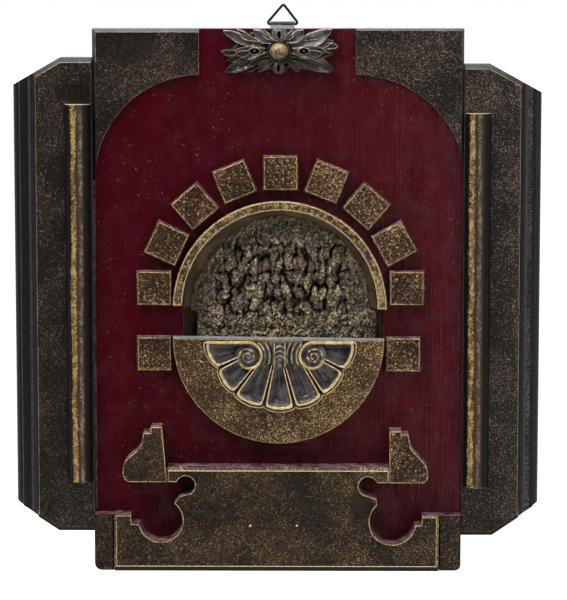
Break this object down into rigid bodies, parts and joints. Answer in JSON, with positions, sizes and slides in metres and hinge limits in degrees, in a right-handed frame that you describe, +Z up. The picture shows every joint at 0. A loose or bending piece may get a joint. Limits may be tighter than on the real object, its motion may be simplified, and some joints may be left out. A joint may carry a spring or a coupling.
{
  "type": "painted wood wall relief",
  "caption": "Painted wood wall relief with a shell, a rough arched niche, a ring of blocks and a fretted base between moulded wings.",
  "frame": {"origin": "centre of the board's flat back face, on the wall", "axes": "+X to the viewer's right, +Y into the wall, +Z up"},
  "size_m": [0.3693, 0.044, 0.3968],
  "materials": {
    "red_paint": "gloss",
    "bronze_paint": "satin",
    "gilt": "satin",
    "slate_glaze": "satin",
    "dark_rough": "rough",
    "strap_steel": "dull",
    "wire": "black"
  },
  "bodies": {
    "plaque": {"central_board": "red_paint", "left_wing": "bronze_paint", "right_wing": "bronze_paint", "left_rod": "gilt", "right_rod": "gilt", "left_spandrel": "bronze_paint", "right_spandrel": "bronze_paint", "rosette": "bronze_paint", "arch_block_1": "bronze_paint", "arch_block_2": "bronze_paint", "arch_block_3": "bronze_paint", "arch_block_4": "bronze_paint", "arch_block_5": "bronze_paint", "arch_block_6": "bronze_paint", "arch_block_7": "bronze_paint", "arch_block_8": "bronze_paint", "arch_block_9": "bronze_paint", "left_lower_block": "bronze_paint", "right_lower_block": "bronze_paint", "arch_ring": "bronze_paint", "grotto_mass": "dark_rough", "half_disc": "bronze_paint", "shell": "slate_glaze", "base_overlay": "bronze_paint", "left_bracket": "bronze_paint", "right_bracket": "bronze_paint", "left_corner_block": "bronze_paint", "right_corner_block": "bronze_paint", "hanger_strap": "strap_steel"},
    "hanger": {"hanger_triangle": "wire"}
  },
  "joints": [
    {"name": "hanger_swing", "type": "hinge", "parent": "plaque", "child": "hanger", "pos_m": [0.003, -0.003, 0.1927], "axis": [1, 0, 0], "range_deg": [-180, 90]}
  ]
}
